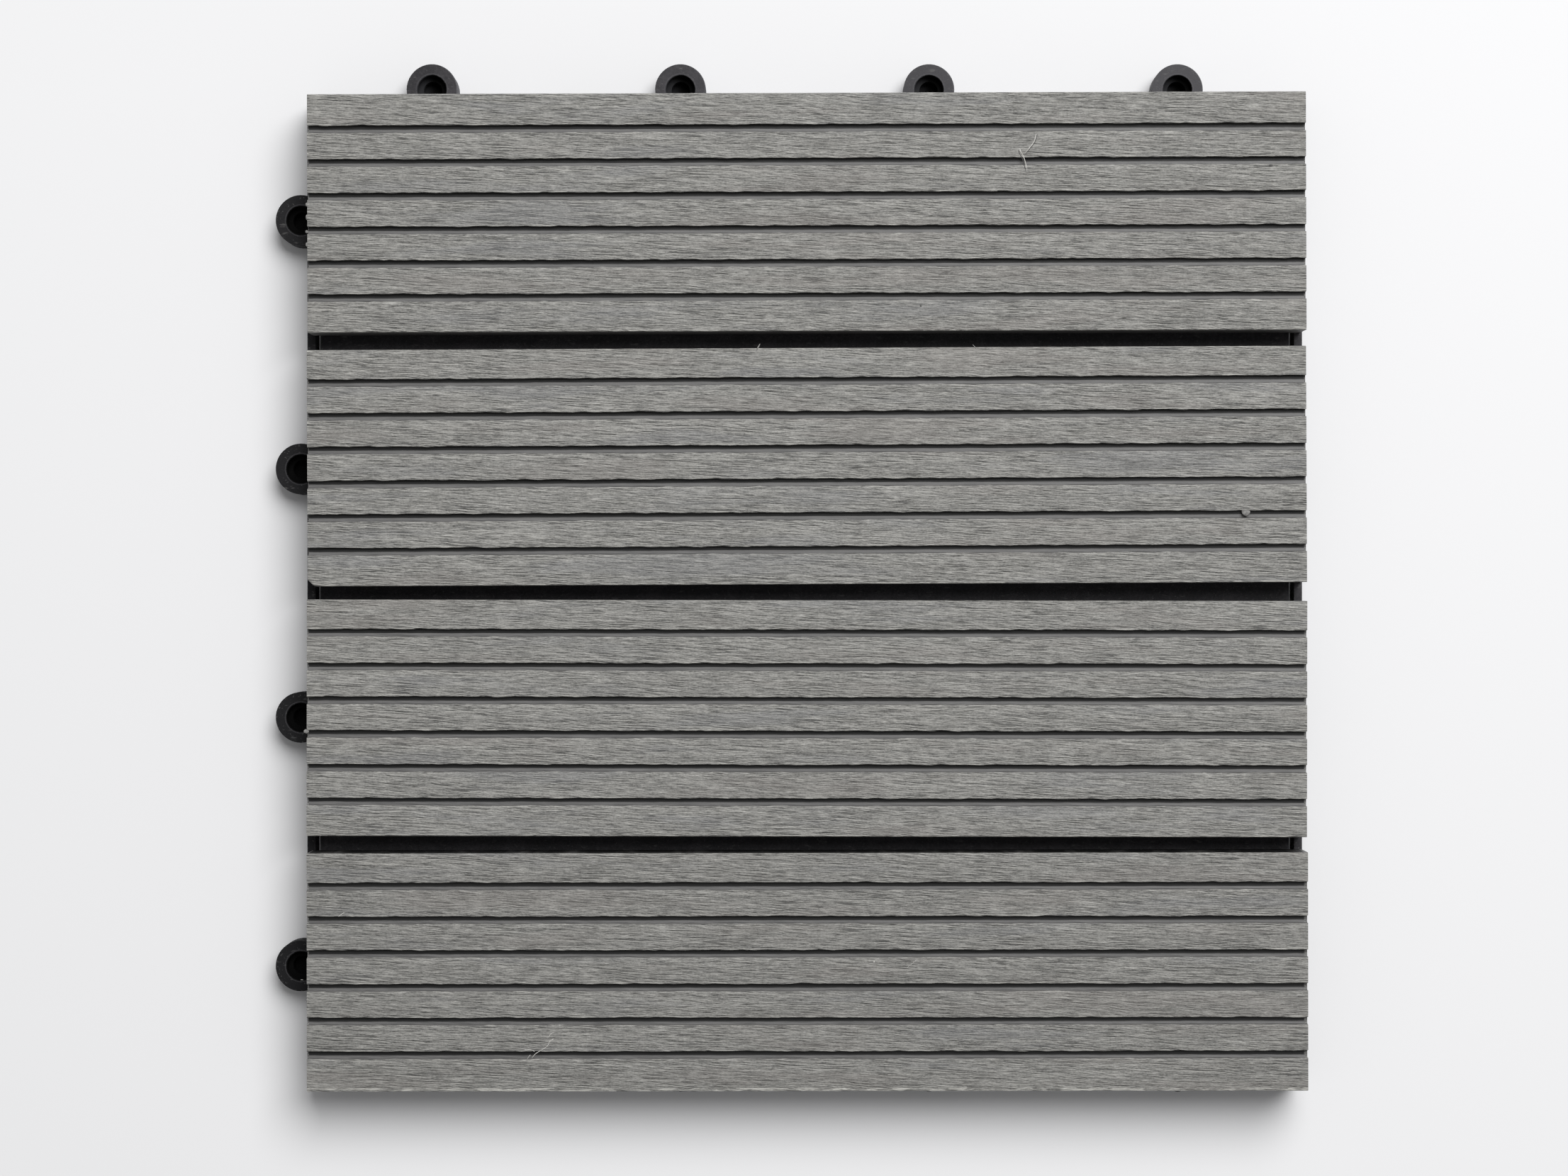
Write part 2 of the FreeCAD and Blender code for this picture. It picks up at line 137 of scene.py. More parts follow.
def finishPiece(piece, finish, slotName, *replaced):
    piece.data.materials.clear()
    piece.data.materials.append(finish)
    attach(piece, "root")
    if replaced:
        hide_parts(*replaced)


# shader maths written as expressions

class Wire:
    def __init__(self, tree, socket):
        self.tree = tree
        self.socket = socket

    def math(self, operation, *others, clamp=False):
        node = self.tree.nodes.new("ShaderNodeMath")
        node.operation = operation
        node.use_clamp = clamp
        for place, value in enumerate((self,) + others):
            plug(self.tree, value, node.inputs[place])
        return Wire(self.tree, node.outputs[0])

    def __add__(self, other):
        return self.math("ADD", other)

    def __sub__(self, other):
        return self.math("SUBTRACT", other)

    def __rsub__(self, other):
        return self.math("MULTIPLY", -1.0).math("ADD", other)

    def __mul__(self, other):
        return self.math("MULTIPLY", other)

    def __truediv__(self, other):
        return self.math("DIVIDE", other)

    def __pow__(self, other):
        return self.math("POWER", other)

    def __mod__(self, other):
        return self.math("FLOORED_MODULO", other)

    __radd__ = __add__
    __rmul__ = __mul__

    def abs(self):
        return self.math("ABSOLUTE")

    def clamped(self):
        return self.math("MULTIPLY", 1.0, clamp=True)

    def ramp(self, low, high):
        # 0 below low, 1 above high, smooth between
        node = self.tree.nodes.new("ShaderNodeMapRange")
        node.interpolation_type = "SMOOTHSTEP"
        plug(self.tree, self, node.inputs["Value"])
        node.inputs["From Min"].default_value = low
        node.inputs["From Max"].default_value = high
        return Wire(self.tree, node.outputs["Result"])

    def line(self, place, width):
        # 1 on a line, fading to 0 at its width to either side
        return (1 - (self - place).abs() / width).clamped()


def plug(tree, value, socket):
    if isinstance(value, Wire):
        tree.links.new(value.socket, socket)
    else:
        socket.default_value = value


class Finish:
    def __init__(self, name):
        self.material = bpy.data.materials.new(name)
        self.material.use_nodes = True
        self.tree = self.material.node_tree
        self.shader = self.tree.nodes["Principled BSDF"]
        place = self.node("ShaderNodeTexCoord", {}, {}, "Object")
        split = self.node("ShaderNodeSeparateXYZ", {}, {0: place}, None)
        self.x, self.y, self.z = (Wire(self.tree, split.outputs[i]) for i in range(3))

    def node(self, kind, settings, values, output=0):
        node = self.tree.nodes.new(kind)
        for key, value in settings.items():
            setattr(node, key, value)
        for key, value in values.items():
            plug(self.tree, value, node.inputs[key])
        if output is None:
            return node
        return Wire(self.tree, node.outputs[output])

    def noise(self, layer, across=None):
        # a layer is the size of one blotch along x, y and z in metres, its detail, roughness and shift
        (long, wide, high), detail, roughness, shift = layer
        across = across or self.y
        sized = {0: self.x / long + shift, 1: across / wide, 2: self.z / high}
        place = self.node("ShaderNodeCombineXYZ", {}, sized)
        values = {"Vector": place, "Scale": 1.0, "Detail": detail, "Roughness": roughness}
        return self.node("ShaderNodeTexNoise", {}, values, "Fac")

    def mix(self, factor, first, second):
        first, second = (c if isinstance(c, Wire) else (*c, 1.0) for c in (first, second))
        return self.node("ShaderNodeMix", {"data_type": "RGBA"}, {0: factor, 6: first, 7: second}, 2)

    def bump(self, height, distance):
        return self.node("ShaderNodeBump", {}, {"Height": height, "Distance": distance})

    def set(self, **sockets):
        for key, value in sockets.items():
            socket = self.shader.inputs[key.replace("_", " ")]
            if isinstance(value, tuple):
                value = (*value, 1.0)
            plug(self.tree, value, socket)
        return self.material


# finishes: colours, noise layers as Finish.noise takes them, then where marks show and how strongly

composite = {
    "dark": (0.080, 0.079, 0.075),
    "light": (0.488, 0.480, 0.452),
    "warm": (0.275, 0.254, 0.238),
    "cool": (0.236, 0.238, 0.246),
    # crack is painted shade in the torn fibres' cracks; pale is pale fibre and also the painted highlight on
    # the cracks' lips
    "shadedCrack": (0.050, 0.049, 0.048),
    "pale": (0.60, 0.59, 0.55),
    "sawn": (0.20, 0.197, 0.190),
    # smooth skin with painted shade beside the grooves
    "skinAndShadeBand": (0.165, 0.162, 0.158),
    "floorDark": (0.070, 0.069, 0.069),
    "floorLight": (0.138, 0.135, 0.134),
    # floorLit and wallLit are painted light in the groove, slit the upper rib's painted shadow
    "floorLit": (0.186, 0.182, 0.178),
    "wallLit": (0.235, 0.230, 0.224),
    "slitShadow": (0.010, 0.010, 0.010),
    "shade": (0, 0, 0),

    "fine": ((3.2 * mm, 0.22 * mm, 1.2 * mm), 2.0, 0.6, 0.0),
    "long": ((12.0 * mm, 0.36 * mm, 1.6 * mm), 1.0, 0.55, 17.3),
    "speck": ((0.8 * mm, 0.34 * mm, 1.0 * mm), 1.0, 0.5, 41.7),
    "hair": ((0.32 * mm, 1.5 * mm, 1.0 * mm), 1.0, 0.5, 29.1),
    "torn": ((9.5 * mm, 0.44 * mm, 2.0 * mm), 1.5, 0.5, 53.2),
    "tornPatch": ((9.0 * mm, 3.0 * mm, 9.0 * mm), 1.0, 0.5, 71.0),
    "swaying": ((24.0 * mm, 9.0 * mm, 40.0 * mm), 1.0, 0.5, 77.7),
    "tint": ((60 * mm, 7 * mm, 40 * mm), 2.0, 0.5, 5.1),
    "waver": ((7 * mm, 40 * mm, 40 * mm), 3.0, 0.6, 9.3),
    "edge": ((5.0 * mm, 1.2 * mm, 40 * mm), 3.0, 0.65, 33.0),
    "fringe": ((5.5 * mm, 0.9 * mm, 3 * mm), 2.0, 0.6, 63.0),

    "contrast": (2.0, 1.1, 0.6, 0.2),  # of fine, long, speck and hair
    "sway": 1.4 * mm,
    "lean": 0.05,
    "lipBelow": 0.26 * mm,
    "tornFrom": (0.055, 0.115),
    "tornWhere": (0.40, 0.56),
    "crackShadeShows": 0.60,
    "lipHighlightShows": 0.50,
    "warmFrom": (0.52, 0.68),
    "warmShows": 0.30,
    "coolFrom": (0.54, 0.70),
    "coolShows": 0.35,

    "grooved": (29.5 * mm, 30.0 * mm),
    "faceBelow": (0.75 * mm, 0.35 * mm),
    "wallBelow": (1.70 * mm, 1.20 * mm),
    "wallLitShows": 0.85,
    "lowerSide": (0, 0.2 * mm),
    "bandInside": 0.10 * mm,
    "bandWander": 2.2 * mm,
    "bandFrom": (-0.55 * mm, 0.14 * mm),
    "bandShows": 0.65,
    "lowerFringe": (-0.30 * mm, 0.22 * mm),
    "lowerFringeShows": 0.6,
    "upperFringe": (0.22 * mm, 0.30 * mm),
    "frontFringe": (0.35 * mm, 0.6 * mm),
    "fringeFrom": (0.46, 0.60),
    "fringeShows": 0.75,
    "skinFine": 0.7,
    "skinFrom": (-0.18, 0.18),
    "floorLitFrom": (-0.85 * mm, -0.20 * mm),
    "floorLitShows": 0.55,
    "slitShadowFrom": (-0.10 * mm, 0.08 * mm),
    "slitShadowWander": 0.4 * mm,
    "slitShadowWider": {1: 0.26 * mm, 2: 0.12 * mm, 3: 0.02 * mm, 4: 0.04 * mm},  # by slat

    "sawnFrom": (-0.2, 0.2),
    "endWithin": (0.25 * mm, 0.12 * mm),
    "relief": 0.20 * mm,
    "reliefParts": (0.8, 0.35, 0.45),  # grain and lip up, crack down
    "roughness": (0.42, 0.16),  # at its smoothest, and what the grain adds
    "specular": 0.5,
}


def makeCompositeFinish(number, top):
    s = composite
    g = slatShape
    turn, shift, tone = g["lay"][number]
    f = Finish(f"brushedComposite{number}")
    f.x = f.x - g["play"].x
    f.y = f.y - g["play"].y - shift - f.x * turn
    fromMiddle = (f.y + 2 * g["pitch"]) % g["pitch"] - g["pitch"] / 2
    fromGroove = (fromMiddle - g["grooveShift"]) % g["groovePitch"] - g["groovePitch"] / 2
    half = g["grooveWidth"] / 2
    inner = 1 - fromMiddle.abs().ramp(*s["grooved"])
    onFace = f.z.ramp(*(top - below for below in s["faceBelow"]))
    onWall = f.z.ramp(*(top - below for below in s["wallBelow"]))

    # brushed face: streaks that sway, torn fibres with painted shade in their crack and a painted highlight
    # on their lip, warm and cool patches
    sway = f.noise(s["swaying"]) - 0.5
    across = f.y + sway * s["sway"] + f.x * s["lean"]
    fine = f.noise(s["fine"], across) - 0.5
    long = f.noise(s["long"], across) - 0.5
    speck = f.noise(s["speck"]) - 0.5
    hair = f.noise(s["hair"]) - 0.5
    grain = sum((part * weight for part, weight in zip((fine, long, speck, hair), s["contrast"])), 0.5)
    tornHere = f.noise(s["tornPatch"]).ramp(*s["tornWhere"])
    torn = f.noise(s["torn"], across) - 0.5
    above = f.noise(s["torn"], across + s["lipBelow"]) - 0.5
    shadedCrack = torn.ramp(*s["tornFrom"]) * tornHere
    litLip = above.ramp(*s["tornFrom"]) * tornHere * (1 - shadedCrack)
    tint = f.noise(s["tint"])
    face = f.mix(grain.clamped(), s["dark"], s["light"])
    # painted shade in the torn fibres' cracks
    face = f.mix(shadedCrack * s["crackShadeShows"], face, s["shadedCrack"])
    # painted highlight on the lip beside each crack
    face = f.mix(litLip * s["lipHighlightShows"], face, s["pale"])
    face = f.mix(tint.ramp(*s["warmFrom"]) * s["warmShows"], face, s["warm"])
    face = f.mix((1 - tint).ramp(*s["coolFrom"]) * s["coolShows"], face, s["cool"])
    face = f.mix(1 - tone, face, s["shade"])

    # the ribs' edges: a band of smooth skin with painted shade on the lower rib, pale fringes along all of
    # them
    edge = f.noise(s["edge"]) - 0.5
    lowerSide = (1 - fromGroove.ramp(*s["lowerSide"])) * inner
    reach = fromGroove + half - s["bandInside"] + edge * s["bandWander"]
    # smooth skin with painted shade on the lower rib beside each groove
    face = f.mix(reach.ramp(*s["bandFrom"]) * lowerSide * s["bandShows"], face, s["skinAndShadeBand"])
    fringe = f.noise(s["fringe"]).ramp(*s["fringeFrom"])
    lowerFringe = reach.line(*s["lowerFringe"]) * lowerSide
    upperFringe = (fromGroove - half).line(*s["upperFringe"]) * inner
    frontFringe = 1 - fromMiddle.ramp(*(wide - g["width"] / 2 for wide in s["frontFringe"]))
    fringes = (lowerFringe * s["lowerFringeShows"] + upperFringe + frontFringe).clamped()
    face = f.mix(fringes * fringe * s["fringeShows"], face, s["pale"])

    # in the groove: the floor's own skin, painted light on the lower rib's wall and on the floor's lower
    # part, and the upper rib's painted shadow as a dark slit under it
    waver = f.noise(s["waver"]) - 0.5
    skin = f.mix((long + fine * s["skinFine"]).ramp(*s["skinFrom"]), s["floorDark"], s["floorLight"])
    # painted light on the floor's lower part
    skin = f.mix(fromGroove.ramp(*s["floorLitFrom"]) * s["floorLitShows"], skin, s["floorLit"])
    # painted light on the groove's wall
    skin = f.mix(onWall * s["wallLitShows"], skin, s["wallLit"])
    # the upper rib's painted shadow, wider on some slats
    slitShadow = (fromGroove + waver * s["slitShadowWander"] + s["slitShadowWider"][number]).ramp(*s["slitShadowFrom"])
    skin = f.mix(slitShadow, skin, s["slitShadow"])

    # sawn ends, and the relief of the brushing
    colour = f.mix(onFace, skin, face)
    sawn = f.mix(speck.ramp(*s["sawnFrom"]), s["dark"], s["sawn"])
    atEnd = f.x.abs().ramp(*(g["length"] / 2 - within for within in s["endWithin"]))
    colour = f.mix(atEnd * (1 - onFace), colour, sawn)
    grainUp, lipUp, crackDown = s["reliefParts"]
    height = (grain * grainUp + litLip * lipUp - shadedCrack * crackDown) * onFace
    smoothest, rougher = s["roughness"]
    f.shader.inputs["Specular IOR Level"].default_value = s["specular"]
    return f.set(Base_Color=colour, Roughness=smoothest + grain * rougher, Normal=f.bump(height, s["relief"]))


plastic = {
    "colour": (0.032, 0.031, 0.034),
    "worn": (0.056, 0.053, 0.058),
    # lit and flank are painted light, shaded is painted shade
    "lit": (0.080, 0.078, 0.084),
    "flank": (0.130, 0.128, 0.138),
    "shaded": (0.009, 0.009, 0.010),
    # inside is painted shade in the cups, insideLit painted light on their lit side
    "inside": (0.001, 0.001, 0.001),
    "insideLit": (0.034, 0.034, 0.037),
    "dust": (0.16, 0.158, 0.155),

    "fine": ((0.30 * mm, 0.30 * mm, 0.30 * mm), 2.0, 0.6, 0.0),
    "broad": ((5 * mm, 5 * mm, 5 * mm), 3.0, 0.6, 3.7),
    "scuff": ((0.9 * mm, 0.9 * mm, 0.9 * mm), 2.0, 0.6, 23.0),
    "dusting": ((0.7 * mm, 0.7 * mm, 0.7 * mm), 1.0, 0.5, 88.0),
    "smearing": ((4 * mm, 1.2 * mm, 4 * mm), 2.0, 0.6, 14.0),

    "leftEdge": -147.0 * mm,
    "backEdge": 149.0 * mm,
    "ringPitch": 75 * mm,
    "ringLine": 152 * mm,
    "cupRadius": 4.3 * mm,
    "wearParts": (0.6, 0.4),
    "wornFrom": (0.40, 0.66),
    "shadedLeast": 0.88,
    "shadedMore": 0.6,
    "litFrom": (-140 * mm, 130 * mm),
    "litShows": 0.9,
    "flankFrom": (7.35 * mm, 7.50 * mm),
    "flankAlong": (1.5 * mm, 5.0 * mm),
    "flankShows": 0.85,
    "ragged": 0.25 * mm,
    "cupEdge": (0.10 * mm, 0.25 * mm),
    # a painted highlight around each cup's edge
    "cupEdgeHighlight": (0.45 * mm, 0.22 * mm),
    "cupEdgeHighlightShows": 0.30,
    "dustFrom": (0.66, 0.74),
    "dustShows": 0.30,
    "smearFrom": (0.60, 0.74),
    "smearShows": 0.40,
    "insideLitAlong": (-3.4 * mm, 0.8 * mm),
    "insideLitShows": 0.8,
    "reliefScuff": 0.6,
    "relief": 0.06 * mm,
    "roughness": (0.46, 0.24, 0.3),
    "specular": 0.16,
}


def makePlasticFinish():
    s = plastic
    f = Finish("blackMoulding")
    broad = f.noise(s["broad"])
    scuff = f.noise(s["scuff"])
    broadWear, scuffWear = s["wearParts"]
    worn = (broad * broadWear + scuff * scuffWear).ramp(*s["wornFrom"])
    colour = f.mix(worn, s["colour"], s["worn"])

    # painted shade on the left side, deeper towards the front, and painted light on the back rings' tops and
    # right flanks
    atLeft = 1 - f.x.ramp(s["leftEdge"] - mm, s["leftEdge"])
    atBack = f.y.ramp(s["backEdge"], s["backEdge"] + mm)
    colour = f.mix(atLeft * (s["shadedLeast"] - f.y * s["shadedMore"]), colour, s["shaded"])
    colour = f.mix(atBack * f.x.ramp(*s["litFrom"]) * s["litShows"], colour, s["lit"])
    pitch = s["ringPitch"]
    alongBack = (f.x + 2 * pitch) % pitch - pitch / 2
    alongLeft = (f.y + 2 * pitch) % pitch - pitch / 2
    backRing = ((f.y - s["ringLine"]) ** 2.0 + alongBack ** 2.0) ** 0.5
    leftRing = ((f.x + s["ringLine"]) ** 2.0 + alongLeft ** 2.0) ** 0.5
    # painted light on the back rings' right flanks
    flank = backRing.ramp(*s["flankFrom"]) * alongBack.ramp(*s["flankAlong"]) * atBack
    colour = f.mix(flank * s["flankShows"], colour, s["flank"])

    # a painted highlight around each cup's edge, dust and smears, and painted shade inside the cup with
    # painted light on its lit side in the back rings
    fromRing = backRing.math("MINIMUM", leftRing) + (scuff - 0.5) * s["ragged"] - s["cupRadius"]
    # painted highlight around each cup's edge
    colour = f.mix(fromRing.line(*s["cupEdgeHighlight"]) * s["cupEdgeHighlightShows"], colour, s["flank"])
    dust = f.noise(s["dusting"]).ramp(*s["dustFrom"])
    colour = f.mix(dust * s["dustShows"], colour, s["dust"])
    smear = f.noise(s["smearing"]).ramp(*s["smearFrom"])
    colour = f.mix(smear * s["smearShows"], colour, s["dust"])
    # painted shade inside each cup, reaching a little over its edge, with painted light on the back cups' lit
    # side
    cup = 1 - fromRing.ramp(*s["cupEdge"])
    litSide = atBack * (1 - alongBack.ramp(*s["insideLitAlong"]))
    colour = f.mix(cup, colour, f.mix(litSide * s["insideLitShows"], s["inside"], s["insideLit"]))
    normal = f.bump(f.noise(s["fine"]) + scuff * s["reliefScuff"], s["relief"])
    smoothest, broadRough, cupRough = s["roughness"]
    f.shader.inputs["Specular IOR Level"].default_value = s["specular"]
    return f.set(Base_Color=colour, Roughness=smoothest + broad * broadRough + cup * cupRough, Normal=normal)


steel = {
    "colour": (0.52, 0.52, 0.53),
    "broad": ((2 * mm, 2 * mm, 2 * mm), 2.0, 0.5, 0.0),
    "fine": ((0.3 * mm, 0.3 * mm, 0.3 * mm), 2.0, 0.5, 0.0),
    "relief": 0.03 * mm,
    "roughness": (0.30, 0.2),
}


def makeSteelFinish():
    s = steel
    f = Finish("screwSteel")
    smoothest, rougher = s["roughness"]
    roughness = smoothest + f.noise(s["broad"]) * rougher
    normal = f.bump(f.noise(s["fine"]), s["relief"])
    return f.set(Base_Color=s["colour"], Metallic=1.0, Roughness=roughness, Normal=normal)


fibreFinish = {
    "looseFibre": ((0.44, 0.43, 0.40), (0.66, 0.65, 0.62)),
    "tornChip": ((0.20, 0.195, 0.188), (0.33, 0.325, 0.315)),
    # also the colour of the wisps' painted shadow strands
    "darkSpeckAndShadow": ((0.045, 0.044, 0.042), (0.085, 0.083, 0.080)),
    "tone": ((0.6 * mm, 0.6 * mm, 0.6 * mm), 2.0, 0.5, 0.0),
    "toneFrom": (0.35, 0.65),
    "relief": 0.02 * mm,
    "roughness": (0.6, 0.2),
}


def makeFibreFinish(name):
    s = fibreFinish
    f = Finish(name)
    tone = f.noise(s["tone"])
    colour = f.mix(tone.ramp(*s["toneFrom"]), *s[name])
    smoothest, rougher = s["roughness"]
    return f.set(Base_Color=colour, Roughness=smoothest + tone * rougher, Normal=f.bump(tone, s["relief"]))


# slats: "play" is how far all four sit off the base's middle, "lay" the turn, the shift along y
# and the tone of each one, "longer" how far its left, right, front and back sides are moved

slatShape = {
    "pitch": 75.55 * mm,
    "width": 70.35 * mm,
    "length": 297.0 * mm,
    "top": 0.10 * mm,  # left free for the loose fibres
    "grooves": 6,
    "groovePitch": 10.05 * mm,
    "grooveWidth": 2.2 * mm,
    "grooveShift": 0.2 * mm,
    "grooveDepth": 1.8 * mm,
    "fluteWidth": 7.0 * mm,
    "fluteDepth": 1.0 * mm,
    "flutes": (-25.5 * mm, -13.5 * mm, 13.5 * mm, 25.5 * mm),
    "edgeRound": (0.28 * mm, 3),
    "floorRound": (0.4 * mm, 3),
    "sideRound": (0.5 * mm, 4),
    "endCuts": 1.5 * mm,
    "lengthCuts": (19, 19),
    "endMargin": 1.0 * mm,
    "shortest": 0.5 * mm,
    "smoothAngle": 40,
    "ragged": 0.95 * mm,
    "raggedSize": 5.0 * mm,
    "raggedDetail": 3,
    "raggedDeep": 1.2 * mm,
    "raggedWide": 0.8 * mm,
    "wornSlat": "slat_3",
    "wornCorner": (0.2 * mm, 0.7 * mm),
    "wornBy": 1.9 * mm,
    "wornReach": 2.8 * mm,
    "ends": 0.5 * mm,
    "sides": 1.5 * mm,
    "play": Vector((0.45 * mm, 0.5 * mm, 0)),
    "lay": {
        1: (0.0011, 0.37 * mm, 0.90),
        2: (-0.0014, 0.03 * mm, 0.98),
        3: (0.0045, -0.42 * mm, 1.0),
        4: (0.0030, -0.63 * mm, 0.99),
    },
    "longer": {
        1: (-0.20 * mm, 0.75 * mm, -0.62 * mm, 0),
        2: (-0.20 * mm, 0.45 * mm, 0, 0),
        3: (-0.05 * mm, 0.27 * mm, 0, 0),
        4: (-0.05 * mm, 0.17 * mm, 0, 0.6 * mm),
    },
}


def grooveCentres(middle):
    s = slatShape
    first = middle + s["grooveShift"] - s["groovePitch"] * (s["grooves"] - 1) / 2
    return [first + s["groovePitch"] * i for i in range(s["grooves"])]


def makeSlat(node):
    s = slatShape
    low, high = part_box(node)
    middle = (low.y + high.y) / 2
    top = high.z - s["top"]
    floor = high.z - s["grooveDepth"]
    roof = low.z + s["fluteDepth"]
    grooves = grooveCentres(middle)
    flutes = [middle + offset for offset in s["flutes"]]
    clearSelection()
    bpy.ops.mesh.primitive_plane_add(size=1, location=(low.x, middle, (low.z + top) / 2),
                                     rotation=(0, -math.pi / 2, 0))
    piece = named(node.replace("_", "") + "Dressed")
    piece.scale = (top - low.z, high.y - low.y, 1)
    bpy.ops.object.transform_apply(location=True, rotation=True, scale=True)
    editing(piece)
    for centres, width in ((grooves, s["grooveWidth"]), (flutes, s["fluteWidth"])):
        for centre in centres:
            cut(centre - width / 2, "y")
            cut(centre + width / 2, "y")
    cut(floor, "z")
    cut(roof, "z")

    def inGroove(place):
        return place.z > floor and any(abs(place.y - c) < s["grooveWidth"] / 2 for c in grooves)

    def inFlute(place):
        return place.z < roof and any(abs(place.y - c) < s["fluteWidth"] / 2 for c in flutes)

    pick(piece, "FACE", lambda place, normal: inGroove(place) or inFlute(place))
    bpy.ops.mesh.delete(type="FACE")

    edges = [centre + side * s["grooveWidth"] / 2 for centre in grooves for side in (-1, 1)]
    for height, lines, (offset, segments) in (
        (top, edges, s["edgeRound"]),
        (floor, edges, s["floorRound"]),
        (top, (low.y, high.y), s["sideRound"]),
    ):
        pick(piece, "VERT", lambda v: near(v.z, height) and any(near(v.y, line) for line in lines))
        bpy.ops.mesh.bevel(offset=offset, segments=segments, affect="VERTICES")

    bpy.ops.mesh.select_all(action="SELECT")
    bpy.ops.mesh.extrude_region_move(TRANSFORM_OT_translate={"value": (high.x - low.x, 0, 0)})
    cut(low.x + s["endCuts"], "x")
    cut(high.x - s["endCuts"], "x")

    def lengthwise(a, b):
        margin = s["endMargin"]
        between = min(a.x, b.x) > low.x + margin and max(a.x, b.x) < high.x - margin
        return between and abs(a.x - b.x) > s["shortest"]

    for cuts in s["lengthCuts"]:
        pick(piece, "EDGE", lengthwise)
        bpy.ops.mesh.subdivide(number_cuts=cuts)
    turnOutwards()
    modelled()
    return piece


def wearCorner(piece, node):
    # one corner rubbed round, by pulling its upright edge inwards with a soft falloff
    s = slatShape
    low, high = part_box(node)
    nearX, nearY = s["wornCorner"]
    editing(piece)
    pick(piece, "VERT", lambda v: v.x < low.x + nearX and v.y < low.y + nearY)
    bpy.ops.transform.translate(value=(0, s["wornBy"], 0), use_proportional_edit=True,
                                proportional_edit_falloff="SHARP", proportional_size=s["wornReach"])
    modelled()


def makeRaggedNoise():
    texture = bpy.data.textures.new("raggedEdges", "CLOUDS")
    texture.noise_scale = slatShape["raggedSize"]
    texture.noise_depth = slatShape["raggedDetail"]
    texture.noise_basis = "ORIGINAL_PERLIN"
    return texture


def roughenSlat(piece, node, raggedNoise):
    # the ribs' edges beside the grooves are pushed to and fro
    s = slatShape
    low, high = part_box(node)
    centres = grooveCentres((low.y + high.y) / 2)
    edges = [centre + side * s["grooveWidth"] / 2 for centre in centres for side in (-1, 1)]
    group = piece.vertex_groups.new(name="ribEdges")
    for v in piece.data.vertices:
        away = min(abs(v.co.y - edge) for edge in edges)
        if v.co.z > high.z - s["raggedDeep"] and away < s["raggedWide"]:
            group.add([v.index], 1.0 - away / mm, "REPLACE")
    modifier = piece.modifiers.new("raggedEdges", "DISPLACE")
    modifier.texture = raggedNoise
    modifier.texture_coords = "LOCAL"
    modifier.direction = "Y"
    modifier.strength = s["ragged"]
    modifier.mid_level = 0.5
    modifier.vertex_group = group.name
    selectOnly(piece)
    applyModifiers(piece)
    bpy.ops.object.shade_smooth_by_angle(angle=math.radians(s["smoothAngle"]))


def trimSlat(piece, node, left, right, front, back):
    # each slat was sawn a little differently
    s = slatShape
    low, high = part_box(node)
    editing(piece)
    for test, value in (
        (lambda v: v.x < low.x + s["ends"], (left, 0, 0)),
        (lambda v: v.x > high.x - s["ends"], (right, 0, 0)),
        (lambda v: v.y < low.y + s["sides"], (0, front, 0)),
        (lambda v: v.y > high.y - s["sides"], (0, back, 0)),
    ):
        pick(piece, "VERT", test)
        bpy.ops.transform.translate(value=value)
    modelled()


def laySlat(piece, node, turn, shift):
    # laid a hair out of true, as on the photographed tile
    low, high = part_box(node)
    editing(piece)
    bpy.ops.mesh.select_all(action="SELECT")
    bpy.ops.transform.rotate(value=-turn, orient_axis="Z", center_override=(0, (low.y + high.y) / 2, 0))
    bpy.ops.transform.translate(value=slatShape["play"] + Vector((0, shift, 0)))
    modelled()


def makeSlats():
    raggedNoise = makeRaggedNoise()
    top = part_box("slat_1")[1].z
    for number in range(1, 5):
        node = f"slat_{number}"
        piece = makeSlat(node)
        if node == slatShape["wornSlat"]:
            wearCorner(piece, node)
        roughenSlat(piece, node, raggedNoise)
        trimSlat(piece, node, *slatShape["longer"][number])
        laySlat(piece, node, *slatShape["lay"][number][:2])
        finishPiece(piece, makeCompositeFinish(number, top), "slat_composite", node)
        print("slat", number, len(piece.data.polygons), "faces")


# base: the moulding's own form with its edges softened

base = {
    "merge": 0.004 * mm,
    "flatAngle": 1,
    "sharpAngle": 35,
    "bevel": 0.22 * mm,
    "segments": 2,
}


def makeBase(finish):
    selectOnly(frame["nodes"]["base_grid"])
    bpy.ops.object.duplicate()
    piece = named("mouldedBase")
    # the copy is a piece of its own, so it drops the CAD node's marks
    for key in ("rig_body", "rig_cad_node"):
        del piece[key]
    editing(piece)
    bpy.ops.mesh.select_all(action="SELECT")
    bpy.ops.mesh.remove_doubles(threshold=base["merge"])
    bpy.ops.mesh.dissolve_limited(angle_limit=math.radians(base["flatAngle"]))
    modelled()
    bevel = piece.modifiers.new("softEdges", "BEVEL")
    bevel.width = base["bevel"]
    bevel.segments = base["segments"]
    bevel.limit_method = "ANGLE"
    bevel.angle_limit = math.radians(base["sharpAngle"])
    bevel.harden_normals = True
    applyModifiers(piece)
    finishPiece(piece, finish, "base_plastic", "base_grid")
    print("base", len(piece.data.polygons), "faces")


# screws: one modelled with its head, collar and thread, then copied

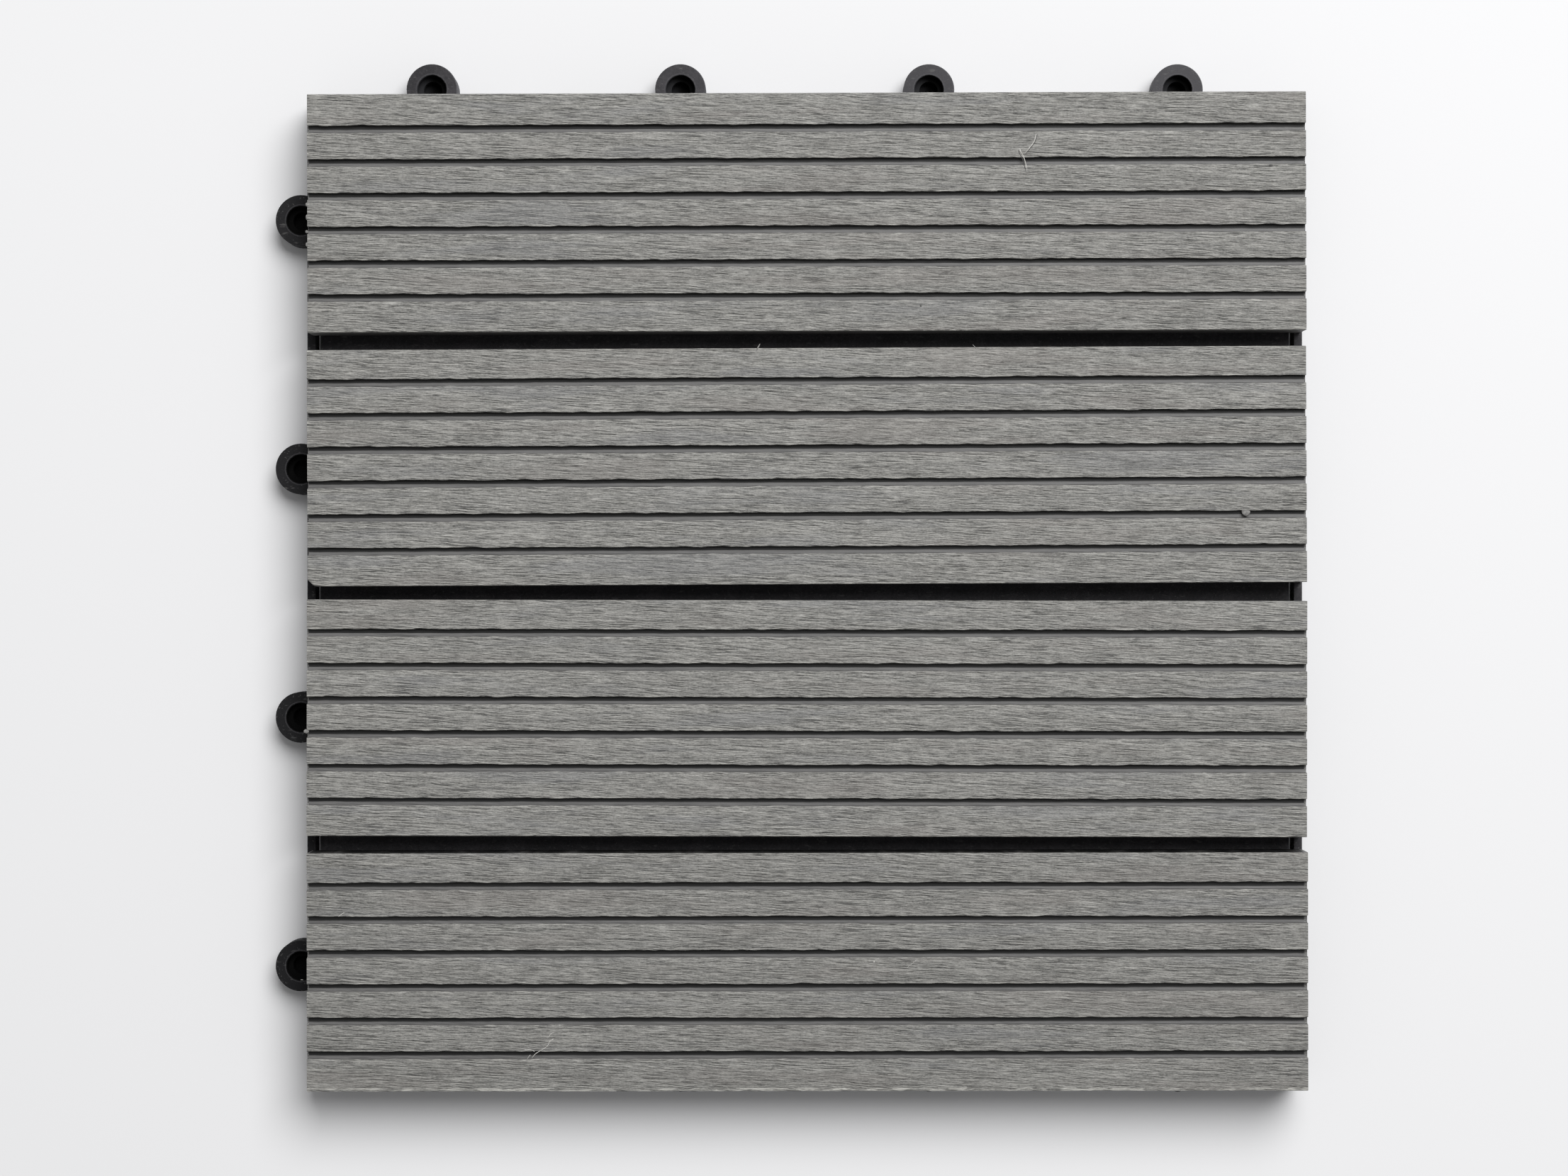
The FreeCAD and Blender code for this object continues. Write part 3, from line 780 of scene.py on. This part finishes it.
screw = {
    "xs": (-112.5 * mm, 112.5 * mm),
    "ys": (-112.5 * mm, -37.5 * mm, 37.5 * mm, 112.5 * mm),
    "sides": 24,
    "headLow": 4.6 * mm,
    "headHigh": 7.0 * mm,
    "headRadius": 4.04 * mm,
    "faceShare": 0.80,
    "sideShare": 0.86,
    "chamfer": 0.5 * mm,
    "chamferKept": 0.2 * mm,
    "outside": 0.7,
    "dimpleInset": 0.9 * mm,
    "dimpleSlope": 0.35 * mm,
    "dimpleDepth": 0.30 * mm,
    "shank": 1.55 * mm,
    "crest": 1.98 * mm,
    "threadLow": 8.0 * mm,
    "threadPitch": 1.1 * mm,
    "crestFlat": 0.4,
    "rootFlat": 1.6,
    "turns": 6,
    "tip": 17.0 * mm,
    "point": 0.12 * mm,
    "smoothAngle": 35,
}


def makeScrews(finish):
    s = screw
    x, y = s["xs"][0], s["ys"][0]
    faceRadius = s["headRadius"] * s["faceShare"]
    sideRadius = s["headRadius"] * s["sideShare"]
    clearSelection()
    bpy.ops.mesh.primitive_circle_add(vertices=s["sides"], radius=faceRadius, fill_type="NGON",
                                      location=(x, y, s["headLow"]))
    piece = named("screwOne")
    bpy.ops.object.transform_apply(location=True)
    editing(piece)

    def grow(rise, radiusFrom, radiusTo):
        bpy.ops.mesh.extrude_region_move(TRANSFORM_OT_translate={"value": (0, 0, rise)})
        scale = radiusTo / radiusFrom
        bpy.ops.transform.resize(value=(scale, scale, 1), center_override=(x, y, 0))

    bpy.ops.mesh.select_all(action="SELECT")
    grow(s["chamfer"], faceRadius, sideRadius)
    grow(s["headHigh"] - s["headLow"] - s["chamfer"], sideRadius, sideRadius)
    grow(0.0, sideRadius, s["shank"])
    grow(s["threadLow"] - s["headHigh"], s["shank"], s["shank"])
    quarter = s["threadPitch"] / 4
    for turn in range(s["turns"]):
        grow(quarter, s["shank"], s["crest"])
        grow(quarter * s["crestFlat"], s["crest"], s["crest"])
        grow(quarter, s["crest"], s["shank"])
        grow(quarter * s["rootFlat"], s["shank"], s["shank"])
    threadHigh = s["threadLow"] + s["turns"] * s["threadPitch"]
    grow(s["tip"] - threadHigh, s["shank"], s["point"])
    bpy.ops.mesh.select_all(action="DESELECT")
    hexagonHead(piece, x, y)
    modelled()
    bpy.ops.object.shade_smooth_by_angle(angle=math.radians(s["smoothAngle"]))
    places = [(px, py) for px in s["xs"] for py in s["ys"]]
    for number, (px, py) in enumerate(places[1:], start=2):
        selectOnly(piece)
        bpy.ops.object.duplicate()
        other = named(f"screw{number}")
        bpy.ops.transform.translate(value=(px - x, py - y, 0))
        bpy.ops.object.transform_apply(location=True)
        finishPiece(other, finish, "screw_steel", "screws")
    finishPiece(piece, finish, "screw_steel", "screws")
    print("screws", len(places))


def hexagonHead(piece, x, y):
    # the head's sides pulled out or in to a hexagon, and a shallow dimple in its face
    s = screw
    flat = s["headRadius"] * math.cos(math.pi / 6)
    shape = bmesh.from_edit_mesh(piece.data)
    for v in shape.verts:
        away = Vector((v.co.x - x, v.co.y - y, 0))
        inHead = s["headLow"] + s["chamferKept"] < v.co.z < s["headHigh"] + 0.01 * mm
        if inHead and away.length > s["headRadius"] * s["outside"]:
            turn = math.atan2(away.y, away.x) % (math.pi / 3) - math.pi / 6
            away = away.normalized() * flat / math.cos(turn)
            v.co.x = x + away.x
            v.co.y = y + away.y
    bmesh.update_edit_mesh(piece.data)
    pick(piece, "FACE", lambda place, normal: near(place.z, s["headLow"]) and normal.z < -0.9)
    bpy.ops.mesh.inset(thickness=s["dimpleInset"], depth=0)
    bpy.ops.mesh.inset(thickness=s["dimpleSlope"], depth=-s["dimpleDepth"])


# loose fibres, chips and pits left by the brushing, and dark strands laid beside the wisps as their painted
# shadows, in millimetres:
# a strand's thickness and the places along it, a chip's centre and radii

fibres = {
    "top": 21.98 * mm,
    "smoothed": 0.41,  # share of a strand's thickness above its middle, once it is rounded
    "sides": 6,
    "tipScale": 0.45,
    "chipSteps": 3,
    "lumps": 0.05,
    "lumpSeed": 3,
    "strands": {
        "wispUpper": (0.38, ((68.4, 136.4), (67.8, 133.9), (66.1, 131.8), (64.8, 130.2))),
        "wispLower": (0.38, ((63.4, 131.9), (63.7, 130.9), (64.4, 129.8), (65.0, 128.1), (65.7, 125.2))),
        # shadeUpper and shadeLower are dark strands laid beside the wisps as their painted shadows
        "shadeUpper": (0.24, ((68.66, 136.2), (68.06, 133.7), (66.36, 131.6), (65.06, 130.0))),
        "shadeLower": (0.30, ((63.0, 131.4), (63.3, 130.4), (64.0, 129.3), (64.6, 127.6), (65.3, 124.7))),
        "curlMain": (0.25, (
            (-75.1, -133.0), (-76.4, -133.7), (-76.9, -135.0), (-77.8, -135.8),
            (-79.2, -136.6), (-80.8, -137.6), (-81.8, -138.9),
        )),
        "curlTop": (0.21, ((-75.3, -131.2), (-76.2, -131.7), (-76.8, -132.5), (-77.1, -133.0))),
        "curlTail": (0.20, ((-82.1, -137.8), (-82.7, -138.4), (-83.2, -139.3))),
        "curlEdge": (0.22, ((-84.1, -136.2), (-81.8, -136.3), (-80.8, -137.0))),
        "splinter": (0.17, ((29.6, -112.2), (33.2, -109.2))),
        "splinterLeft": (0.28, ((-139.4, -96.8), (-137.2, -95.2))),
        "gapSplinter": (0.50, ((-15.1, 71.5), (-14.5, 72.5), (-13.8, 73.8))),
        "gapFibre": (0.24, ((50.7, 72.0), (50.0, 72.9), (49.4, 73.5))),
    },
    "chips": {
        "nubAcross": ((130.8, 24.0, 21.3), (1.3, 1.5, 0.55)),
        "nubAtEnd": ((-148.9, -41.6, 21.3), (0.8, 0.65, 0.5)),
        "nib1": ((-148.75, 115.2, 21.5), (0.38, 0.55, 0.35)),
        "nib2": ((-148.75, 111.4, 21.5), (0.30, 0.80, 0.35)),
        "nib3": ((-148.75, 107.1, 21.5), (0.42, 0.45, 0.35)),
        "nib4": ((-148.75, 103.3, 21.5), (0.33, 0.65, 0.35)),
        "paleDot": ((20.1, -110.1, 21.86), (0.28, 0.28, 0.12)),
        "ringSliver": ((-152.2, -117.2, 8.08), (0.40, 0.12, 0.10)),
        "pit1": ((138.1, 126.8, 21.84), (0.70, 0.32, 0.13)),
        "pit2": ((106.3, 101.6, 21.84), (0.52, 0.30, 0.13)),
        "pit3": ((34.0, 85.0, 21.84), (0.34, 0.34, 0.13)),
    },
}


def makeStrand(name, thickness, points, finish):
    clearSelection()
    height = fibres["top"] - thickness * mm * fibres["smoothed"]
    places = [Vector((a * mm, b * mm, height)) + slatShape["play"] for a, b in points]
    heading = (places[1] - places[0]).to_track_quat("Z", "Y").to_euler()
    bpy.ops.mesh.primitive_circle_add(vertices=fibres["sides"], radius=thickness * mm / 2, fill_type="NGON",
                                      location=places[0], rotation=heading)
    piece = named(name)
    bpy.ops.object.transform_apply(location=True, rotation=True)
    editing(piece)
    bpy.ops.mesh.select_all(action="SELECT")
    for before, after in zip(places, places[1:]):
        for halfway in range(2):
            bpy.ops.mesh.extrude_region_move(TRANSFORM_OT_translate={"value": (after - before) / 2})
    bpy.ops.transform.resize(value=[fibres["tipScale"]] * 3, center_override=places[-1])
    turnOutwards()
    modelled()
    smooth = piece.modifiers.new("rounded", "SUBSURF")
    smooth.levels = smooth.render_levels = 1
    applyModifiers(piece)
    bpy.ops.object.shade_smooth()
    finishPiece(piece, finish, "slat_composite")


def makeChip(name, centre, radii, finish):
    clearSelection()
    centre = Vector(centre) * mm + slatShape["play"]
    bpy.ops.mesh.primitive_ico_sphere_add(subdivisions=fibres["chipSteps"], radius=mm, location=centre)
    piece = named(name)
    bpy.ops.object.transform_apply(location=True)
    editing(piece)
    bpy.ops.mesh.select_all(action="SELECT")
    bpy.ops.transform.resize(value=radii, center_override=centre)
    bpy.ops.transform.vertex_random(offset=fibres["lumps"] * mm * radii[0], seed=fibres["lumpSeed"])
    modelled()
    bpy.ops.object.shade_smooth()
    finishPiece(piece, finish, "slat_composite")


def makeFibres():
    loose = makeFibreFinish("looseFibre")
    torn = makeFibreFinish("tornChip")
    dark = makeFibreFinish("darkSpeckAndShadow")
    # the shade strands take the dark finish as the wisps' painted shadows
    finishes = {"gap": torn, "nub": torn, "nib": torn, "shade": dark, "pit": dark}

    def finishFor(name):
        return next((finish for start, finish in finishes.items() if name.startswith(start)), loose)

    for name, (thickness, points) in fibres["strands"].items():
        makeStrand(name, thickness, points, finishFor(name))
    for name, (centre, radii) in fibres["chips"].items():
        makeChip(name, centre, radii, finishFor(name))
    print("fibres", len(fibres["strands"]), "chips", len(fibres["chips"]))


# floor, light and camera

room = {
    "floorSize": 6.0,
    "floorColour": (0.905, 0.905, 0.915),
    "floorRoughness": 0.9,
    "floorSpecular": 0.0,
    "lampTowards": Vector((0.46, 0.89, 0)).normalized(),
    "lampElevation": math.radians(56),
    "lampDistance": 3.0,
    "lampSize": 2.3,
    "lampPower": 91.0,
    "skyColour": (1, 1, 1, 1),
    "skyStrength": 0.245,
}

lens = {
    "height": 0.972,
    "x": -6.7 * mm,
    "y": 1.06 * mm,
    "focalPixels": 4505,
    "imagePixels": 2212,
    "sensor": 36,
}


def makeRoom():
    clearSelection()
    bpy.ops.mesh.primitive_plane_add(size=room["floorSize"], location=(0, 0, 0))
    floor = named("floor")
    f = Finish("paleFloor")
    floor.data.materials.append(f.set(Base_Color=room["floorColour"], Roughness=room["floorRoughness"]))
    f.shader.inputs["Specular IOR Level"].default_value = room["floorSpecular"]
    lift = math.sin(room["lampElevation"]) * Vector((0, 0, 1))
    towards = room["lampTowards"] * math.cos(room["lampElevation"]) + lift
    bpy.ops.object.light_add(type="AREA", location=towards * room["lampDistance"])
    lamp = bpy.context.object
    lamp.name = "softKey"
    lamp.rotation_euler = towards.to_track_quat("Z", "Y").to_euler()
    lamp.data.shape = "DISK"
    lamp.data.size = room["lampSize"]
    lamp.data.energy = room["lampPower"]
    world = bpy.data.worlds.new("paleRoom")
    world.use_nodes = True
    sky = world.node_tree.nodes["Background"]
    sky.inputs["Color"].default_value = room["skyColour"]
    sky.inputs["Strength"].default_value = room["skyStrength"]
    bpy.context.scene.world = world
    print("room and lamp")


def makeCamera():
    place = Vector((lens["x"], lens["y"], lens["height"])) + slatShape["play"]
    bpy.ops.object.camera_add(location=place, rotation=(0, 0, 0))
    camera = bpy.context.object
    camera.name = "camera"
    camera.data.sensor_width = lens["sensor"]
    camera.data.lens = lens["focalPixels"] / lens["imagePixels"] * lens["sensor"]
    bpy.context.scene.camera = camera
    print("camera")


bpy.context.scene.view_settings.view_transform = "Standard"
makeSlats()
makeBase(makePlasticFinish())
makeScrews(makeSteelFinish())
makeFibres()
makeRoom()
makeCamera()
